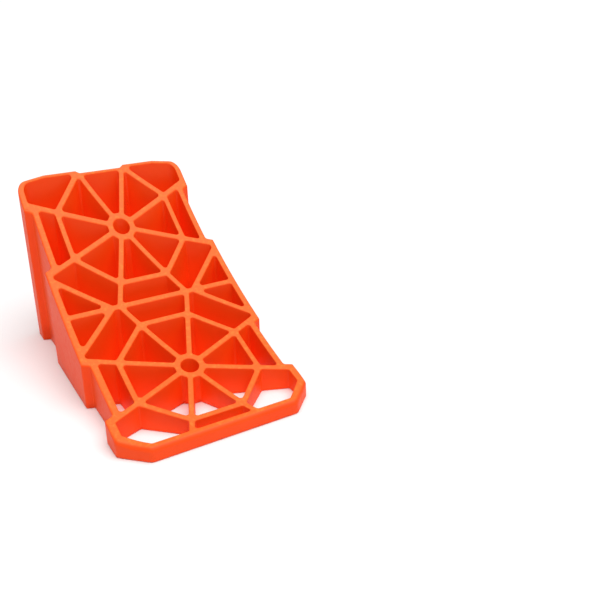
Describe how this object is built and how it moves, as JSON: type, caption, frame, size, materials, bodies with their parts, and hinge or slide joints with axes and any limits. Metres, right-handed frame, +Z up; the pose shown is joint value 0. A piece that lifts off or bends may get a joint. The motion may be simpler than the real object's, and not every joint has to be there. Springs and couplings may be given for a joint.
{
  "type": "wheel chock",
  "caption": "Wedge-shaped moulded plastic wheel chock with a curved ramp for the tyre, side flutes, and an open web of spoked rings and ribs around through holes.",
  "frame": {"origin": "centre of the footprint's bounding box, on the ground", "axes": "+Z up, +Y from the thin toe to the tall heel, +X to the right when looking from the toe to the heel"},
  "size_m": [0.1088, 0.184, 0.1045],
  "materials": {
    "shell": "satin"
  },
  "bodies": {
    "root": {"heel_wall": "shell", "heel_corner_left": "shell", "heel_corner_right": "shell", "heel_side_left": "shell", "heel_side_right": "shell", "upper_flute_left": "shell", "upper_flute_right": "shell", "upper_shoulder_left": "shell", "upper_shoulder_right": "shell", "middle_side_left": "shell", "middle_side_right": "shell", "lower_shoulder_left": "shell", "lower_shoulder_right": "shell", "lower_flute_left": "shell", "lower_flute_right": "shell", "toe_side_left": "shell", "toe_side_right": "shell", "toe_corner_left": "shell", "toe_corner_right": "shell", "toe_bar": "shell", "upper_hub": "shell", "lower_hub": "shell", "upper_spokes": "shell", "lower_spokes": "shell", "upper_ring": "shell", "lower_ring": "shell", "cross_rib": "shell", "diagonal_ribs_left": "shell", "diagonal_ribs_right": "shell"}
  },
  "joints": []
}
